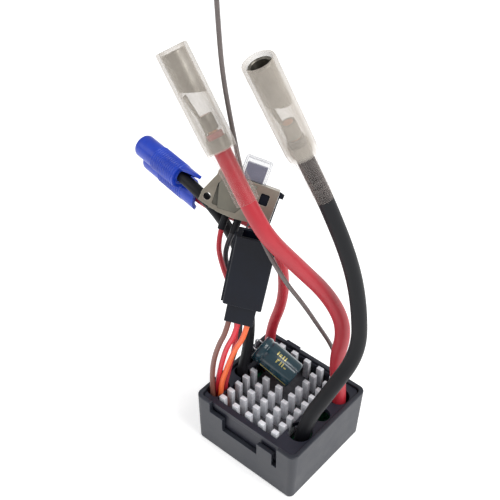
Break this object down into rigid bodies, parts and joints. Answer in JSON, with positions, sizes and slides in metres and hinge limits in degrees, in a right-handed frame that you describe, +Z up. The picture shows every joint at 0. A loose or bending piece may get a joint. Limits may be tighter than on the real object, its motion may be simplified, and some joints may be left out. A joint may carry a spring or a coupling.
{
  "type": "electronic speed controller",
  "caption": "Small motor speed controller with built-in receiver: open-topped case, pin heatsink, capacitor, leads, slide switch and sockets.",
  "frame": {"origin": "middle of the case's flat bottom", "axes": "+Z up out of the case, +X along the latched wall towards the motor leads, +Y towards the wall with the two tongues"},
  "size_m": [0.0759, 0.0342, 0.1556],
  "materials": {
    "case": "moulded, fine matt texture",
    "cover": "moulded, smooth matt",
    "heatsink": "bright bare metal",
    "thermal_pad": "soft silicone",
    "board": "solder mask",
    "chip": "moulded epoxy",
    "metal_parts": "tinned",
    "can": "satin",
    "can_sleeve": "shrunk film",
    "bung": "matt",
    "winding": "paper and foil",
    "red_silicone": "satin",
    "black_silicone": "satin",
    "brown_wire": "satin",
    "red_wire": "satin",
    "orange_wire": "satin",
    "black_wire": "satin",
    "grey_wire": "satin",
    "copper": "stranded",
    "plated_brass": "nickel plated",
    "clear_sleeve": "milky, translucent",
    "blue_housing": "moulded",
    "gold_contact": "plated",
    "black_housing": "moulded",
    "switch_steel": "plated sheet",
    "phenolic": "laminate",
    "knob": "moulded",
    "clear_boot": "clear silicone"
  },
  "bodies": {
    "controller": {"bottom_case": "case", "top_cover": "cover", "heatsink": "heatsink", "thermal_pad": "thermal_pad", "circuit_board": "board", "mosfets": "chip", "microcontroller": "chip", "radio_chip": "chip", "crystal": "metal_parts", "voltage_regulator": "chip", "small_components": "chip", "solder_joints": "metal_parts", "capacitor_can": "can", "capacitor_sleeve": "can_sleeve", "capacitor_bung": "bung", "capacitor_roll": "winding", "capacitor_leads": "metal_parts", "motor_lead_red": "red_silicone", "motor_lead_black": "black_silicone", "battery_lead_red": "red_silicone", "battery_lead_black": "black_silicone", "servo_wire_brown": "brown_wire", "servo_wire_red": "red_wire", "servo_wire_orange": "orange_wire", "switch_wire_red": "red_wire", "switch_wire_black": "black_wire", "antenna_wire": "grey_wire", "motor_terminal_red": "plated_brass", "motor_terminal_black": "plated_brass", "motor_strands_red": "copper", "motor_strands_black": "copper", "terminal_sleeve_red": "clear_sleeve", "terminal_sleeve_black": "clear_sleeve", "battery_connector": "blue_housing", "battery_contacts": "gold_contact", "servo_plug": "black_housing", "servo_pins": "gold_contact", "servo_shroud": "black_housing", "switch_frame": "switch_steel", "switch_base": "phenolic", "switch_terminals": "plated_brass"},
    "switch_slider": {"switch_slider": "gold_contact", "switch_knob": "knob", "switch_boot": "clear_boot"}
  },
  "joints": [
    {"name": "switch_slide", "type": "slide", "parent": "controller", "child": "switch_slider", "axis": [0.8659, 0.4389, -0.24], "range_m": [-0.002, 0]}
  ]
}
